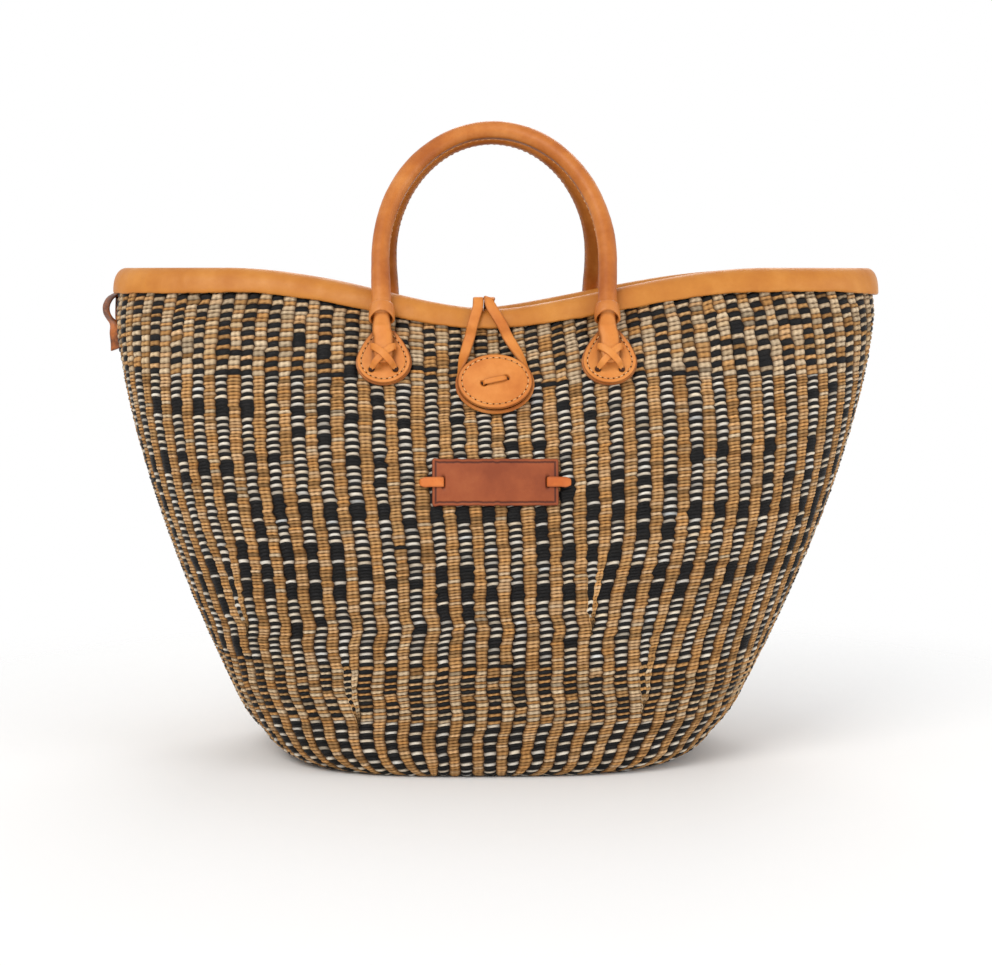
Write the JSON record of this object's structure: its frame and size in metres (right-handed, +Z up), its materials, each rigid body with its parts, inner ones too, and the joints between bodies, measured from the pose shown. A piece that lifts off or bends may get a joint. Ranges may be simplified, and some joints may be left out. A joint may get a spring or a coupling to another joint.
{
  "type": "kiondo basket",
  "caption": "Twined sisal tote basket with leather rim binding, rolled tilting handles, loop and button closure and a plain leather label patch.",
  "frame": {"origin": "middle of the flat base's underside", "axes": "+Z up, +X to the right along the basket's width as seen from its front, front facing -Y"},
  "size_m": [0.5058, 0.2323, 0.4106],
  "materials": {
    "sisal": "twined sisal and cotton yarn in tan, cream, white and black",
    "rim_leather": "smooth tan leather, softly creased",
    "handle_leather": "smooth rolled tan leather",
    "core_leather": "tan leather roll",
    "tab_leather": "smooth orange tan leather with stitched edges",
    "label_leather": "matt red-brown leather",
    "tie_leather": "orange leather thong",
    "dark_leather": "dark brown leather"
  },
  "bodies": {
    "basket": {"woven_body": "sisal", "rim_binding": "rim_leather", "front_left_tab_backing": "tab_leather", "front_right_tab_backing": "tab_leather", "rear_left_tab_backing": "tab_leather", "rear_right_tab_backing": "tab_leather", "front_left_tab_face": "tab_leather", "front_right_tab_face": "tab_leather", "rear_left_tab_face": "tab_leather", "rear_right_tab_face": "tab_leather", "front_left_tongue": "tab_leather", "front_right_tongue": "tab_leather", "rear_left_tongue": "tab_leather", "rear_right_tongue": "tab_leather", "front_left_lace": "tab_leather", "front_right_lace": "tab_leather", "rear_left_lace": "tab_leather", "rear_right_lace": "tab_leather", "front_left_lace_knot": "tab_leather", "front_right_lace_knot": "tab_leather", "rear_left_lace_knot": "tab_leather", "rear_right_lace_knot": "tab_leather", "closure_strap_left": "tab_leather", "closure_strap_right": "tab_leather", "button_knot": "tab_leather", "label_patch": "label_leather", "label_tie_left": "tie_leather", "label_tie_right": "tie_leather", "label_knot_left": "tie_leather", "label_knot_right": "tie_leather", "side_loop": "dark_leather"},
    "front_handle": {"front_handle_cover": "handle_leather", "front_handle_core": "core_leather", "front_left_collar": "handle_leather", "front_right_collar": "handle_leather"},
    "rear_handle": {"rear_handle_cover": "handle_leather", "rear_handle_core": "core_leather", "rear_left_collar": "handle_leather", "rear_right_collar": "handle_leather"},
    "closure_loop": {"closure_loop": "tab_leather"},
    "button": {"button_face": "tab_leather", "button_back": "tab_leather", "button_thong": "tab_leather"}
  },
  "joints": [
    {"name": "front_handle_tilt", "type": "hinge", "parent": "basket", "child": "front_handle", "pos_m": [0, -0.08985, 0.28051], "axis": [1, 0, 0], "range_deg": [0, 120]},
    {"name": "rear_handle_tilt", "type": "hinge", "parent": "basket", "child": "rear_handle", "pos_m": [0, 0.08985, 0.28051], "axis": [-1, 0, 0], "range_deg": [0, 120]},
    {"name": "closure_loop_lift", "type": "hinge", "parent": "basket", "child": "closure_loop", "pos_m": [-0.0063, -0.07356, 0.29865], "axis": [-1, 0, 0], "range_deg": [0, 150]},
    {"name": "button_pull", "type": "slide", "parent": "basket", "child": "button", "axis": [0, -0.9323, 0.3617], "range_m": [0, 0.003]}
  ]
}
